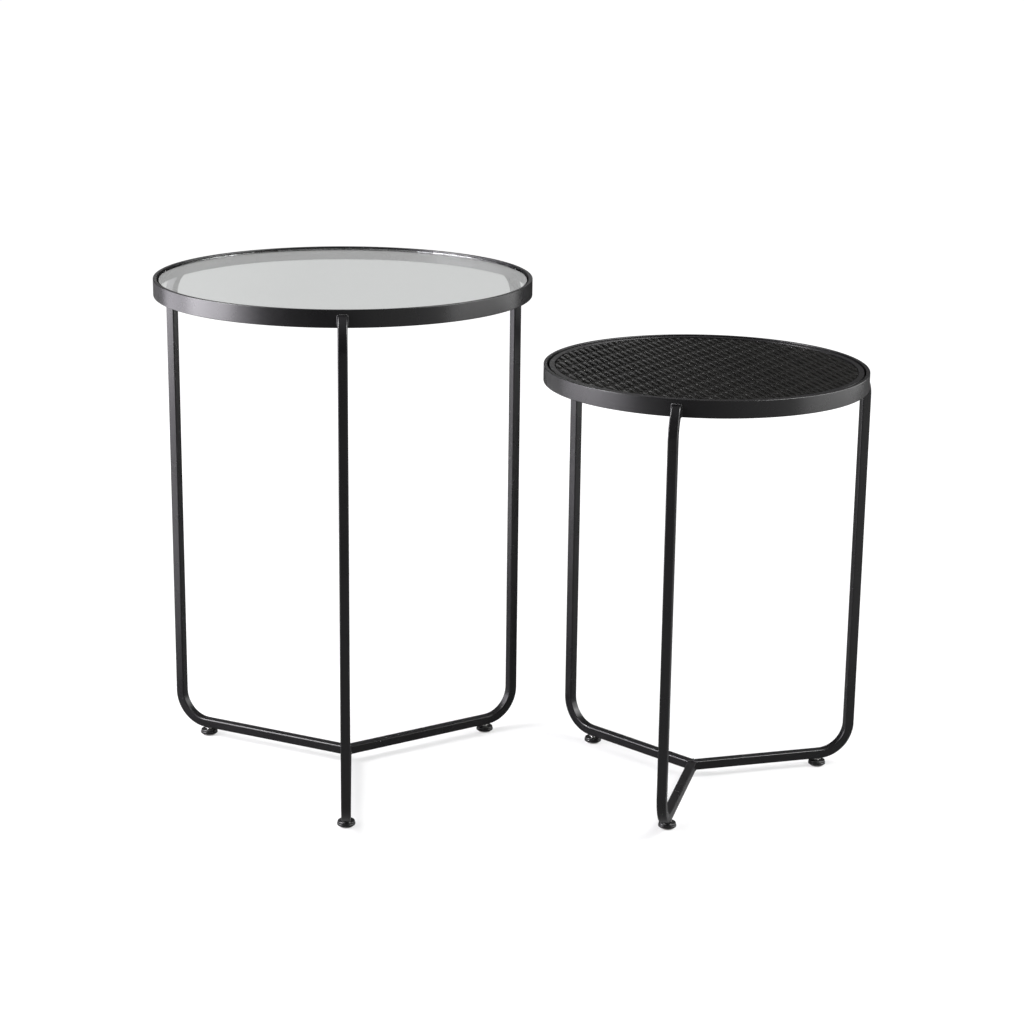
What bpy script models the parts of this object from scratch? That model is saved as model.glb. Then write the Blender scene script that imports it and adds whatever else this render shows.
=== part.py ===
"""Two round nesting side tables on bent-tube legs: one with a glass top, one with a woven lift-out top.

Metres, +Z up, feet on z = 0. The origin is under the middle of the pair. Each table is built round
its own empty, whose +X points along the front leg, and the empties place and turn the tables.
"""

import math

import bmesh
import bpy
from mathutils import Matrix, Vector

# The two tables
TABLES = {
    "large": {"rim_radius": 0.200, "height": 0.549, "leg_standoff": 0.0195, "front_leg_angle": -86.2},
    "small": {"rim_radius": 0.1715, "height": 0.464, "leg_standoff": 0.013, "front_leg_angle": -104.1},
}
SMALL_FROM_LARGE = Vector((0.384, -0.033, 0.0))  # small table's centre seen from the large table's
LEG_NAMES = ("front", "right", "left")

# Clearance between pieces that touch, and the fineness of round pieces
GAP = 0.0003
RING_STEPS = 72
FOOT_STEPS = 16
STEM_STEPS = 12

# Square tube of the legs
TUBE = 0.010
TUBE_WALL = 0.001
TUBE_CORNER = 0.0015
BOTTOM_BEND = 0.034
BOTTOM_BEND_STEPS = 6
TOP_BEND = 0.036
TOP_BEND_STEPS = 4
WELD_DROP = 0.005  # from the rim's top edge down to the top of the welded leg end

# Flat-bar rim and the ledge ring welded inside it
RIM_HEIGHT = 0.018
RIM_WALL = 0.004
RIM_CHAMFER = 0.0005
LEDGE_WIDTH = 0.004
LEDGE_HEIGHT = 0.003
GASKET_THICKNESS = 0.0008
GASKET_WIDTH = 0.0028

# Glass disc
GLASS_THICKNESS = 0.004
GLASS_DROP = 0.002  # below the rim's top edge
GLASS_CLEARANCE = 0.0012
GLASS_BEVEL = 0.0008

# Lift-out top: angle ring, board and woven panel
TRAY_DROP = 0.001
TRAY_CLEARANCE = 0.002
TRAY_FACE = 0.006
TRAY_LIP = 0.004
TRAY_LIP_THICKNESS = 0.0015
BOARD_THICKNESS = 0.003
WEAVE_THICKNESS = 0.0024
WEAVE_DROP = 0.0005  # woven panel below the ring's face
PANEL_CLEARANCE = 0.0005

# Levelling foot: pad, moulded base, threaded stem, insert in the tube
PAD_THICKNESS = 0.0018
PAD_RADIUS = 0.0075
PAD_CHAMFER = 0.0004
BASE_HEIGHT = 0.0045
BASE_RADIUS = 0.0095
BASE_FLANGE = 0.0019
BASE_GROOVE = 0.0008
BASE_BEVEL = 0.0016
STEM_SHOWN = 0.0024
STEM_RADIUS = 0.0025
STEM_IN_BASE = 0.003
STEM_CHAMFER = 0.0004
INSERT_WALL = 0.0008
INSERT_DEPTH = 0.007
COLLAR_WIDTH = 0.0012
COLLAR_THICKNESS = 0.0008
FOOT_PAST_BEND = 0.002  # foot axis inward of the end of the bottom bend

# Heights that follow from the foot
BASE_BOTTOM = PAD_THICKNESS + GAP
BASE_TOP = BASE_BOTTOM + BASE_HEIGHT
BAR_BOTTOM = BASE_TOP + STEM_SHOWN
BAR_MIDDLE = BAR_BOTTOM + TUBE / 2
INSERT_TOP = BAR_BOTTOM + INSERT_DEPTH
INSERT_BORE = STEM_RADIUS + GAP
INSERT_RADIUS = INSERT_BORE + INSERT_WALL


def clear_scene():
    for obj in list(bpy.data.objects):
        bpy.data.objects.remove(obj)


def make_material(name, colour, roughness, metallic=0.0, transmission=0.0):
    material = bpy.data.materials.new(name)
    material.use_nodes = True
    shader = material.node_tree.nodes["Principled BSDF"]
    shader.inputs["Base Color"].default_value = (*colour, 1.0)
    shader.inputs["Roughness"].default_value = roughness
    shader.inputs["Metallic"].default_value = metallic
    shader.inputs["Transmission Weight"].default_value = transmission
    return material


def make_materials():
    return {
        "powder_coat": make_material("powder_coat", (0.018, 0.018, 0.018), 0.42),
        "glass": make_material("glass", (0.86, 0.90, 0.88), 0.02, transmission=1.0),
        "gasket": make_material("gasket", (0.015, 0.015, 0.015), 0.7),
        "weave": make_material("weave", (0.020, 0.018, 0.016), 0.55),
        "board": make_material("board", (0.030, 0.028, 0.026), 0.8),
        "moulding": make_material("moulding", (0.016, 0.016, 0.017), 0.4),
        "plated_steel": make_material("plated_steel", (0.62, 0.62, 0.60), 0.3, metallic=1.0),
        "pad": make_material("pad", (0.80, 0.79, 0.76), 0.6),
    }


def finish_mesh(bm, name):
    """Closes, orients and shades a mesh."""
    bmesh.ops.remove_doubles(bm, verts=bm.verts, dist=1e-6)
    bmesh.ops.recalc_face_normals(bm, faces=bm.faces)
    mesh = bpy.data.meshes.new(name)
    bm.to_mesh(mesh)
    bm.free()
    mesh.shade_smooth()
    mesh.set_sharp_from_angle(angle=math.radians(30))
    return mesh


def turned_mesh(name, profile, steps):
    """Revolves a closed (radius, z) outline about Z. One that reaches the axis makes a solid disc."""
    bm = bmesh.new()
    points = [bm.verts.new((radius, 0.0, z)) for radius, z in profile]
    lines = [bm.edges.new((a, b)) for a, b in zip(points, points[1:])]
    if profile[0][0] > 0.0:
        lines.append(bm.edges.new((points[-1], points[0])))
    bmesh.ops.spin(bm, geom=points + lines, cent=(0, 0, 0), axis=(0, 0, 1), angle=2 * math.pi, steps=steps)
    return finish_mesh(bm, name)


def ring_profile(inner, outer, bottom, top):
    return [(inner, bottom), (outer, bottom), (outer, top), (inner, top)]


def disc_profile(radius, bottom, top, chamfer=0.0):
    if not chamfer:
        return [(0.0, bottom), (radius, bottom), (radius, top), (0.0, top)]
    return [
        (0.0, bottom),
        (radius - chamfer, bottom),
        (radius, bottom + chamfer),
        (radius, top - chamfer),
        (radius - chamfer, top),
        (0.0, top),
    ]


def place(name, mesh, material, parent, location=(0, 0, 0), turn=0.0):
    if not mesh.materials:
        mesh.materials.append(material)
    obj = bpy.data.objects.new(name, mesh)
    bpy.context.scene.collection.objects.link(obj)
    obj.parent = parent
    obj.location = location
    obj.rotation_euler = (0.0, 0.0, turn)
    return obj


def rim_inner(table):
    return table["rim_radius"] - RIM_WALL


def leg_radius(table):
    return table["rim_radius"] + table["leg_standoff"]


def foot_radius(table):
    return leg_radius(table) - BOTTOM_BEND - FOOT_PAST_BEND


# Rim, ledge and gasket


def rim_mesh(table):
    outer = table["rim_radius"]
    inner = rim_inner(table)
    top = table["height"]
    bottom = top - RIM_HEIGHT
    profile = [
        (inner, bottom),
        (outer, bottom),
        (outer, top - RIM_CHAMFER),
        (outer - RIM_CHAMFER, top),
        (inner + RIM_CHAMFER, top),
        (inner, top - RIM_CHAMFER),
    ]
    return turned_mesh("rim", profile, RING_STEPS)


def add_rim_set(key, table, empty, materials, top_bottom):
    """The rim, and the ledge and gasket that carry a top whose underside is at top_bottom."""
    inner = rim_inner(table)
    gasket_top = top_bottom - GAP
    gasket_bottom = gasket_top - GASKET_THICKNESS
    ledge_top = gasket_bottom - GAP
    ledge_inner = inner - LEDGE_WIDTH
    ledge = ring_profile(ledge_inner, inner - GAP, ledge_top - LEDGE_HEIGHT, ledge_top)
    gasket = ring_profile(ledge_inner + GAP, ledge_inner + GAP + GASKET_WIDTH, gasket_bottom, gasket_top)
    place(f"{key}_rim", rim_mesh(table), materials["powder_coat"], empty)
    place(f"{key}_ledge", turned_mesh("ledge", ledge, RING_STEPS), materials["powder_coat"], empty)
    place(f"{key}_gasket", turned_mesh("gasket", gasket, RING_STEPS), materials["gasket"], empty)


# Legs


def square_outline(side, corner):
    """Chamfered square as (across, up) points, with a point in the middle of its top and bottom."""
    half = side / 2
    flat = half - corner
    quarter = [(0.0, -half), (flat, -half), (half, -flat)]
    right = quarter + [(x, -y) for x, y in reversed(quarter)]
    return right + [(-x, y) for x, y in reversed(right[1:-1])]


def leg_path(table):
    """Centre line as (x, z, direction) in the leg's own plane, from the table's centre into the rim."""
    radius = leg_radius(table)
    path = [(0.0, BAR_MIDDLE, 0.0)]
    for step in range(BOTTOM_BEND_STEPS + 1):
        turn = math.radians(90) * step / BOTTOM_BEND_STEPS
        x = radius - BOTTOM_BEND + BOTTOM_BEND * math.sin(turn)
        z = BAR_MIDDLE + BOTTOM_BEND - BOTTOM_BEND * math.cos(turn)
        path.append((x, z, turn))
    lean = math.acos(1 - table["leg_standoff"] / TOP_BEND)
    weld_height = table["height"] - WELD_DROP - TUBE / 2 / math.sin(lean)
    bend_start = weld_height - TOP_BEND * math.sin(lean)
    for step in range(TOP_BEND_STEPS + 1):
        turn = lean * step / TOP_BEND_STEPS
        x = radius - TOP_BEND + TOP_BEND * math.cos(turn)
        z = bend_start + TOP_BEND * math.sin(turn)
        path.append((x, z, math.radians(90) + turn))
    x, z, direction = path[-1]
    path.append((x + TUBE * math.cos(direction), z + TUBE * math.sin(direction), direction))
    return path


def sweep_point(spot, across, up):
    x, z, direction = spot
    return Vector((x - up * math.sin(direction), across, z + up * math.cos(direction)))


def swept_tube(path):
    """Hollow tube along the path. Its first end is cut to a 120 degree point for the three-way mitre."""
    bm = bmesh.new()
    walls = []
    inner_side = TUBE - 2 * TUBE_WALL
    for outline in (square_outline(TUBE, TUBE_CORNER), square_outline(inner_side, TUBE_CORNER - TUBE_WALL)):
        rings = []
        for spot in path:
            rings.append([bm.verts.new(sweep_point(spot, across, up)) for across, up in outline])
        for vertex, (across, up) in zip(rings[0], outline):
            vertex.co.x = (abs(across) + GAP) * math.tan(math.radians(30))
        walls.append(rings)
    count = len(walls[0][0])
    for rings in walls:
        for low, high in zip(rings, rings[1:]):
            for i in range(count):
                j = (i + 1) % count
                bm.faces.new((low[i], low[j], high[j], high[i]))
    for end in (0, -1):
        outer, inner = walls[0][end], walls[1][end]
        for i in range(count):
            j = (i + 1) % count
            bm.faces.new((outer[i], outer[j], inner[j], inner[i]))
    return finish_mesh(bm, "leg_blank")


def cutter(name, profile, x, steps):
    obj = bpy.data.objects.new(name, turned_mesh(name, profile, steps))
    obj.location.x = x
    obj.hide_render = True
    obj.display_type = "WIRE"
    bpy.context.scene.collection.objects.link(obj)
    return obj


def cut_mesh(mesh, cutters, name):
    """The mesh less the cutters, which are removed afterwards."""
    blank = bpy.data.objects.new(name, mesh)
    bpy.context.scene.collection.objects.link(blank)
    for tool in cutters:
        modifier = blank.modifiers.new(tool.name, "BOOLEAN")
        modifier.operation = "DIFFERENCE"
        modifier.solver = "EXACT"
        modifier.object = tool
    graph = bpy.context.evaluated_depsgraph_get()
    result = bpy.data.meshes.new_from_object(blank.evaluated_get(graph))
    result.name = name
    for obj in [blank, *cutters]:
        bpy.data.objects.remove(obj)
    return result


def leg_mesh(table):
    top = table["height"]
    rim_space = disc_profile(table["rim_radius"] + GAP, top - 3 * RIM_HEIGHT, top + RIM_HEIGHT)
    foot_hole = disc_profile(INSERT_RADIUS + GAP, BAR_BOTTOM - TUBE_WALL, INSERT_TOP + GAP)
    cutters = [
        cutter("rim_space", rim_space, 0.0, RING_STEPS),
        cutter("foot_hole", foot_hole, foot_radius(table), STEM_STEPS),
    ]
    return cut_mesh(swept_tube(leg_path(table)), cutters, "leg")


# Levelling feet, built round their own axis


def insert_mesh():
    collar_top = BAR_BOTTOM - GAP
    collar_bottom = collar_top - COLLAR_THICKNESS
    collar = INSERT_RADIUS + COLLAR_WIDTH
    profile = [
        (INSERT_BORE, collar_bottom),
        (collar, collar_bottom),
        (collar, collar_top),
        (INSERT_RADIUS, collar_top),
        (INSERT_RADIUS, INSERT_TOP),
        (INSERT_BORE, INSERT_TOP),
    ]
    return turned_mesh("insert", profile, STEM_STEPS)


def stem_mesh():
    profile = disc_profile(STEM_RADIUS, BASE_TOP - STEM_IN_BASE, INSERT_TOP, STEM_CHAMFER)
    return turned_mesh("stem", profile, STEM_STEPS)


def base_mesh():
    groove = BASE_BOTTOM + BASE_FLANGE
    upper = BASE_RADIUS - BASE_GROOVE / 2
    socket = STEM_RADIUS + GAP
    profile = [
        (0.0, BASE_BOTTOM),
        (BASE_RADIUS, BASE_BOTTOM),
        (BASE_RADIUS, groove),
        (upper, groove + BASE_GROOVE / 2),
        (upper, BASE_TOP - BASE_BEVEL),
        (upper - BASE_BEVEL, BASE_TOP),
        (socket, BASE_TOP),
        (socket, BASE_TOP - STEM_IN_BASE - GAP),
        (0.0, BASE_TOP - STEM_IN_BASE - GAP),
    ]
    return turned_mesh("base", profile, FOOT_STEPS)


def pad_mesh():
    return turned_mesh("pad", disc_profile(PAD_RADIUS, 0.0, PAD_THICKNESS, PAD_CHAMFER), FOOT_STEPS)


def add_legs(key, table, empty, materials):
    leg = leg_mesh(table)
    foot_pieces = {
        "insert": (insert_mesh(), "plated_steel"),
        "stem": (stem_mesh(), "plated_steel"),
        "foot": (base_mesh(), "moulding"),
        "pad": (pad_mesh(), "pad"),
    }
    for index, side in enumerate(LEG_NAMES):
        turn = index * math.radians(120)
        spot = Matrix.Rotation(turn, 3, "Z") @ Vector((foot_radius(table), 0.0, 0.0))
        place(f"{key}_leg_{side}", leg, materials["powder_coat"], empty, turn=turn)
        for piece, (mesh, finish) in foot_pieces.items():
            place(f"{key}_{piece}_{side}", mesh, materials[finish], empty, spot, turn)


# Tops


def add_glass(table, empty, materials):
    """Returns the height of the glass's underside."""
    top = table["height"] - GLASS_DROP
    bottom = top - GLASS_THICKNESS
    profile = disc_profile(rim_inner(table) - GLASS_CLEARANCE, bottom, top, GLASS_BEVEL)
    place("glass_top", turned_mesh("glass", profile, RING_STEPS), materials["glass"], empty)
    return bottom


def add_tray(table, empty, materials):
    """The angle ring with its board and woven panel. Returns the height of the ring's underside."""
    outer = rim_inner(table) - TRAY_CLEARANCE
    inner = outer - TRAY_FACE
    top = table["height"] - TRAY_DROP
    weave_top = top - WEAVE_DROP
    weave_bottom = weave_top - WEAVE_THICKNESS
    board_top = weave_bottom - GAP
    board_bottom = board_top - BOARD_THICKNESS
    lip_top = board_bottom - GAP
    bottom = lip_top - TRAY_LIP_THICKNESS
    ring = [
        (inner - TRAY_LIP, bottom),
        (outer, bottom),
        (outer, top),
        (inner, top),
        (inner, lip_top),
        (inner - TRAY_LIP, lip_top),
    ]
    panel_radius = inner - PANEL_CLEARANCE
    board = disc_profile(panel_radius, board_bottom, board_top)
    weave = disc_profile(panel_radius, weave_bottom, weave_top)
    place("tray_ring", turned_mesh("tray_ring", ring, RING_STEPS), materials["powder_coat"], empty)
    place("tray_board", turned_mesh("board", board, RING_STEPS), materials["board"], empty)
    place("woven_panel", turned_mesh("weave", weave, RING_STEPS), materials["weave"], empty)
    return bottom


# Assembly


def add_table(key, table, centre, materials, add_top):
    empty = bpy.data.objects.new(f"{key}_table", None)
    bpy.context.scene.collection.objects.link(empty)
    empty.location = centre
    empty.rotation_euler = (0.0, 0.0, math.radians(table["front_leg_angle"]))
    top_bottom = add_top(table, empty, materials)
    add_rim_set(key, table, empty, materials, top_bottom)
    add_legs(key, table, empty, materials)
    return empty


def centre_pair(empties):
    """Moves both tables so that the origin is under the middle of the pair."""
    bpy.context.view_layer.update()
    corners = []
    for obj in bpy.data.objects:
        if obj.type == "MESH":
            corners += [obj.matrix_world @ vertex.co for vertex in obj.data.vertices]
    for axis in (0, 1):
        values = [corner[axis] for corner in corners]
        for empty in empties:
            empty.location[axis] -= (min(values) + max(values)) / 2


def main():
    clear_scene()
    materials = make_materials()
    large = add_table("large", TABLES["large"], Vector((0, 0, 0)), materials, add_glass)
    small = add_table("small", TABLES["small"], SMALL_FROM_LARGE, materials, add_tray)
    centre_pair([large, small])


main()
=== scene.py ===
import math

import bmesh
import bpy
import numpy as np
from mathutils import Matrix, Vector


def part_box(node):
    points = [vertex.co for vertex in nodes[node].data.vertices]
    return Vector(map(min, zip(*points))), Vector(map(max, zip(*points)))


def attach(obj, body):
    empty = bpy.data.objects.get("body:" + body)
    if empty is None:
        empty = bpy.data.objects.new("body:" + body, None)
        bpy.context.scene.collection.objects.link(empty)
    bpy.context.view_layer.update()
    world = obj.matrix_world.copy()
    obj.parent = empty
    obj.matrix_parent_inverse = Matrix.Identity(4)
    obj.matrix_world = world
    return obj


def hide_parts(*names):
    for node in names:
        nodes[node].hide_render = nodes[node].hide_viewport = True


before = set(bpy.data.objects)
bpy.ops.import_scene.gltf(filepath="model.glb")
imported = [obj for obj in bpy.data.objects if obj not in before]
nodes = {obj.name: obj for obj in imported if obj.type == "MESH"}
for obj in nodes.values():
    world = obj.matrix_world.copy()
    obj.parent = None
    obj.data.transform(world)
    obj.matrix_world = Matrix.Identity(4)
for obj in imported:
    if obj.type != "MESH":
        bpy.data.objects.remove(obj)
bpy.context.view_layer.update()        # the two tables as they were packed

sides = ("front", "right", "left")
hair = 0.00002  # two surfaces this close read as touching
sameSpot = 1e-6  # points this close are one point
sharpCorner = math.radians(35)  # turned pieces stay smooth below this angle


# Reading the frame

def nodePoints(node):
    mesh = nodes[node].data
    points = np.empty(len(mesh.vertices) * 3, dtype=np.float32)
    mesh.vertices.foreach_get("co", points)
    return points.reshape(-1, 3).astype(float)


def middleOf(node):
    low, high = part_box(node)
    return (low + high) / 2


def ringOf(node, centre):
    # a turned node's inner and outer radius, bottom and top
    points = nodePoints(node)
    reach = np.hypot(points[:, 0] - centre.x, points[:, 1] - centre.y)
    low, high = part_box(node)
    return {"inner": float(reach.min()), "outer": float(reach.max()), "bottom": low.z, "top": high.z}


def legOf(key, side, centre):
    foot = middleOf(f"{key}_pad_{side}")
    turn = math.atan2(foot.y - centre.y, foot.x - centre.x)
    points = nodePoints(f"{key}_leg_{side}")
    outward = (points[:, 0] - centre.x) * math.cos(turn) + (points[:, 1] - centre.y) * math.sin(turn)
    across = (points[:, 1] - centre.y) * math.cos(turn) - (points[:, 0] - centre.x) * math.sin(turn)
    tube = float(across.max() - across.min())
    return {
        "turn": turn,
        "tube": tube,
        "reach": float(outward.max()) - tube / 2,
        "barMiddle": float(points[:, 2].min()) + tube / 2,
        "top": float(points[:, 2].max()),
        "foot": Vector((foot.x, foot.y, 0.0)),
    }


def tableOf(key):
    rimMiddle = middleOf(f"{key}_rim")
    centre = Vector((rimMiddle.x, rimMiddle.y, 0.0))
    return {
        "body": f"{key}_frame",
        "centre": centre,
        "rim": ringOf(f"{key}_rim", centre),
        "legs": {side: legOf(key, side, centre) for side in sides},
    }


tables = {key: tableOf(key) for key in ("large", "small")}
print("frame read:", {key: round(table["rim"]["outer"], 4) for key, table in tables.items()})


# Building node trees

def join(tree, node, sockets):
    # each socket takes a value or another node's output
    for socket, value in sockets.items():
        if isinstance(value, bpy.types.NodeSocket):
            tree.links.new(value, node.inputs[socket])
        else:
            node.inputs[socket].default_value = value


def add(tree, kind, sockets=None, **settings):
    node = tree.nodes.new(kind)
    for name, value in settings.items():
        setattr(node, name, value)
    join(tree, node, sockets or {})
    return node


def calc(tree, operation, *values):
    return add(tree, "ShaderNodeMath", dict(enumerate(values)), operation=operation).outputs[0]


def mixed(tree, factor, first, second):
    return add(tree, "ShaderNodeMix", {0: factor, 2: first, 3: second}).outputs[0]


def ranged(tree, value, low, high, newLow=0.0, newHigh=1.0, curve="LINEAR"):
    # low to high becomes newLow to newHigh, held at both ends
    return add(tree, "ShaderNodeMapRange", {
        "Value": value, "From Min": low, "From Max": high, "To Min": newLow, "To Max": newHigh,
    }, interpolation_type=curve).outputs[0]


def xyz(tree, x=0.0, y=0.0, z=0.0):
    return add(tree, "ShaderNodeCombineXYZ", {"X": x, "Y": y, "Z": z}).outputs[0]


def splitUp(tree, vector):
    return add(tree, "ShaderNodeSeparateXYZ", {0: vector}).outputs


def objectPlace(tree):
    return add(tree, "ShaderNodeTexCoord").outputs["Object"]


def noiseOf(tree, vector, scale, detail, roughness=0.5):
    sockets = {"Vector": vector, "Scale": scale, "Detail": detail, "Roughness": roughness}
    return add(tree, "ShaderNodeTexNoise", sockets).outputs["Fac"]


def openTree(name, kind, inputs, outputs):
    tree = bpy.data.node_groups.new(name, kind)
    for label, (socketKind, value) in inputs.items():
        socket = tree.interface.new_socket(label, in_out="INPUT", socket_type=f"NodeSocket{socketKind}")
        if value is not None:
            socket.default_value = value
    for label, socketKind in outputs.items():
        tree.interface.new_socket(label, in_out="OUTPUT", socket_type=f"NodeSocket{socketKind}")
    return tree, tree.nodes.new("NodeGroupInput").outputs, tree.nodes.new("NodeGroupOutput").inputs


def openShape(name, inputs):
    kinds = {"Geometry": "Geometry", **inputs, "Finish": "Material"}
    given = {label: (kind, None) for label, kind in kinds.items()}
    return openTree(name, "GeometryNodeTree", given, {"Geometry": "Geometry"})


def closeShape(tree, given, result, geometry):
    # every shape ends the same way: real mesh, smooth, with its finish
    real = add(tree, "GeometryNodeRealizeInstances", {"Geometry": geometry}).outputs[0]
    smooth = add(tree, "GeometryNodeSetShadeSmooth", {"Geometry": real}).outputs[0]
    finished = {"Geometry": smooth, "Material": given["Finish"]}
    painted = add(tree, "GeometryNodeSetMaterial", finished).outputs[0]
    tree.links.new(painted, result["Geometry"])


def moved(tree, geometry, place, turn=None):
    sockets = {"Geometry": geometry, "Translation": place}
    if turn is not None:
        sockets["Rotation"] = xyz(tree, z=turn)
    return add(tree, "GeometryNodeTransform", sockets).outputs[0]


def swept(tree, line, section, **sockets):
    solid = {"Curve": line, "Profile Curve": section, "Fill Caps": True, **sockets}
    return add(tree, "GeometryNodeCurveToMesh", solid).outputs[0]


def stored(tree, geometry, name, value, **settings):
    sockets = {"Geometry": geometry, "Name": name, "Value": value}
    return add(tree, "GeometryNodeStoreNamedAttribute", sockets, **settings).outputs[0]


def recalled(tree, name):
    return add(tree, "GeometryNodeInputNamedAttribute", {"Name": name}).outputs[0]


def easedBar(tree, width, height, steps, radius):
    # a rectangle with rounded corners, to sweep along a line
    flats = {"Width": width, "Height": height}
    section = add(tree, "GeometryNodeCurvePrimitiveQuadrilateral", flats).outputs[0]
    corners = {"Curve": section, "Count": steps, "Radius": radius}
    return add(tree, "GeometryNodeFilletCurve", corners, mode="POLY").outputs[0]


def polyline(name, runs):
    # loose edges through the points of each run, as a start for a shape tree
    mesh = bpy.data.meshes.new(name)
    points = [point for run, _ in runs for point in run]
    edges = []
    first = 0
    for run, closed in runs:
        edges += [(first + i, first + i + 1) for i in range(len(run) - 1)]
        if closed:
            edges.append((first + len(run) - 1, first))
        first += len(run)
    mesh.from_pydata(points, edges, [])
    return mesh


def linked(name, mesh):
    piece = bpy.data.objects.new(name, mesh)
    bpy.context.scene.collection.objects.link(piece)
    return piece


def frozen(piece):
    # the piece's evaluated shape as a plain mesh, with its modifiers gone
    graph = bpy.context.evaluated_depsgraph_get()
    mesh = bpy.data.meshes.new_from_object(piece.evaluated_get(graph))
    mesh.name = piece.name
    piece.modifiers.clear()
    piece.data = mesh
    return piece


def grown(name, tree, sizes, start=None):
    # runs a shape tree with these sizes and keeps what it makes
    piece = linked(name, start or bpy.data.meshes.new(name))
    modifier = piece.modifiers.new("shape", "NODES")
    modifier.node_group = tree
    for item in tree.interface.items_tree:
        if item.in_out == "INPUT" and item.name in sizes:
            modifier[item.identifier] = sizes[item.name]
    return frozen(piece)


def flatSided(piece):
    # keeps the flats flat beside their rounded corners
    modifier = piece.modifiers.new("flats", "WEIGHTED_NORMAL")
    modifier.mode = "FACE_AREA"
    modifier.keep_sharp = True
    return frozen(piece)


def rounded(outline, radii, steps=4):
    # the (radius, height) outline with each corner turned into an arc; a radius of 0 keeps it sharp
    shape = []
    count = len(outline)
    for i, (corner, radius) in enumerate(zip(outline, radii)):
        here = Vector(corner)
        back = Vector(outline[i - 1]) - here
        ahead = Vector(outline[(i + 1) % count]) - here
        if radius <= 0:
            shape.append(tuple(here))
            continue
        half = back.angle(ahead) / 2
        reach = radius / math.tan(half)
        centre = here + (back.normalized() + ahead.normalized()).normalized() * (radius / math.sin(half))
        start = here + back.normalized() * reach - centre
        sweep = start.angle_signed(here + ahead.normalized() * reach - centre)
        for step in range(steps + 1):
            shape.append(tuple(centre + Matrix.Rotation(-sweep * step / steps, 2) @ start))
    return shape


def turned(name, outline, centre, finish, segments):
    # a solid of revolution round a table's or a foot's own upright axis
    bm = bmesh.new()
    points = [bm.verts.new((centre.x + radius, centre.y, height)) for radius, height in outline]
    lines = [bm.edges.new(pair) for pair in zip(points, points[1:])]
    if outline[0][0] > 0:
        lines.append(bm.edges.new((points[-1], points[0])))
    bmesh.ops.spin(
        bm, geom=points + lines, cent=(centre.x, centre.y, 0), axis=(0, 0, 1),
        angle=2 * math.pi, steps=segments,
    )
    bmesh.ops.remove_doubles(bm, verts=bm.verts, dist=sameSpot)
    bmesh.ops.recalc_face_normals(bm, faces=bm.faces)
    mesh = bpy.data.meshes.new(name)
    bm.to_mesh(mesh)
    bm.free()
    mesh.shade_smooth()
    mesh.set_sharp_from_angle(angle=sharpCorner)
    mesh.materials.append(finish)
    return flatSided(linked(name, mesh))


def fitted(piece, body, slot, *stoodFor):
    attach(piece, body)
    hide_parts(*stoodFor)


# Effects that several finishes share

effectLook = {
    "mottle": (0.3, 0.7), "faceUp": (0.5, 1.0), "specks": (0.45, 0.75), "thinnestDust": 0.4, "dustDulls": 0.5,
}


def coatTexture():
    # Height is the fine pebble of a sprayed or moulded skin, Mottle the slow change in its sheen
    tree, given, result = openTree(
        "coatTexture",
        "ShaderNodeTree",
        {"Vector": ("Vector", None), "Pebble": ("Float", 900.0), "Patch": ("Float", 25.0)},
        {"Height": "Float", "Mottle": "Float"},
    )
    patch = noiseOf(tree, given["Vector"], given["Patch"], 4.0)
    tree.links.new(noiseOf(tree, given["Vector"], given["Pebble"], 2.0), result["Height"])
    tree.links.new(ranged(tree, patch, *effectLook["mottle"]), result["Mottle"])
    return tree


def settledDust():
    # Mask is the faint dust that lies on faces that look up
    tree, given, result = openTree(
        "settledDust",
        "ShaderNodeTree",
        {"Vector": ("Vector", None), "Speck": ("Float", 2200.0), "Amount": ("Float", 0.1)},
        {"Mask": "Float"},
    )
    normal = add(tree, "ShaderNodeNewGeometry").outputs["Normal"]
    level = ranged(tree, splitUp(tree, normal)["Z"], *effectLook["faceUp"])
    speck = noiseOf(tree, given["Vector"], given["Speck"], 3.0)
    film = ranged(tree, speck, *effectLook["specks"], effectLook["thinnestDust"], 1.0)
    mask = calc(tree, "MULTIPLY", calc(tree, "MULTIPLY", level, film), given["Amount"])
    tree.links.new(mask, result["Mask"])
    return tree


def fibreGrain():
    # Streak runs along X of the vector and is fine across Y
    tree, given, result = openTree(
        "fibreGrain",
        "ShaderNodeTree",
        {"Vector": ("Vector", None), "Along": ("Float", 60.0), "Across": ("Float", 2600.0)},
        {"Streak": "Float", "Patch": "Float"},
    )
    stretch = xyz(tree, given["Along"], given["Across"], given["Across"])
    drawn = add(tree, "ShaderNodeVectorMath", {0: given["Vector"], 1: stretch}, operation="MULTIPLY")
    tree.links.new(noiseOf(tree, drawn.outputs[0], 1.0, 3.0, 0.6), result["Streak"])
    tree.links.new(noiseOf(tree, given["Vector"], given["Along"], 2.0), result["Patch"])
    return tree


effects = {"coat": coatTexture(), "dust": settledDust(), "fibre": fibreGrain()}


# Finishes

def openFinish(name):
    material = bpy.data.materials.new(name)
    material.use_nodes = True
    tree = material.node_tree
    return material, tree, tree.nodes["Principled BSDF"]


def effect(tree, name, sockets):
    return add(tree, "ShaderNodeGroup", sockets, node_tree=effects[name]).outputs


def between(tree, factor, low, high):
    return ranged(tree, factor, 0.0, 1.0, low, high)


def blended(tree, factor, first, second):
    # colours may be another node's output or plain red, green and blue
    sockets = {0: factor}
    for socket, colour in ((6, first), (7, second)):
        sockets[socket] = colour if isinstance(colour, bpy.types.NodeSocket) else (*colour, 1.0)
    return add(tree, "ShaderNodeMix", sockets, data_type="RGBA").outputs[2]


def raised(tree, shader, height, depth):
    bump = add(tree, "ShaderNodeBump", {"Height": height, "Distance": depth, "Strength": 1.0})
    tree.links.new(bump.outputs[0], shader.inputs["Normal"])


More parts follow.
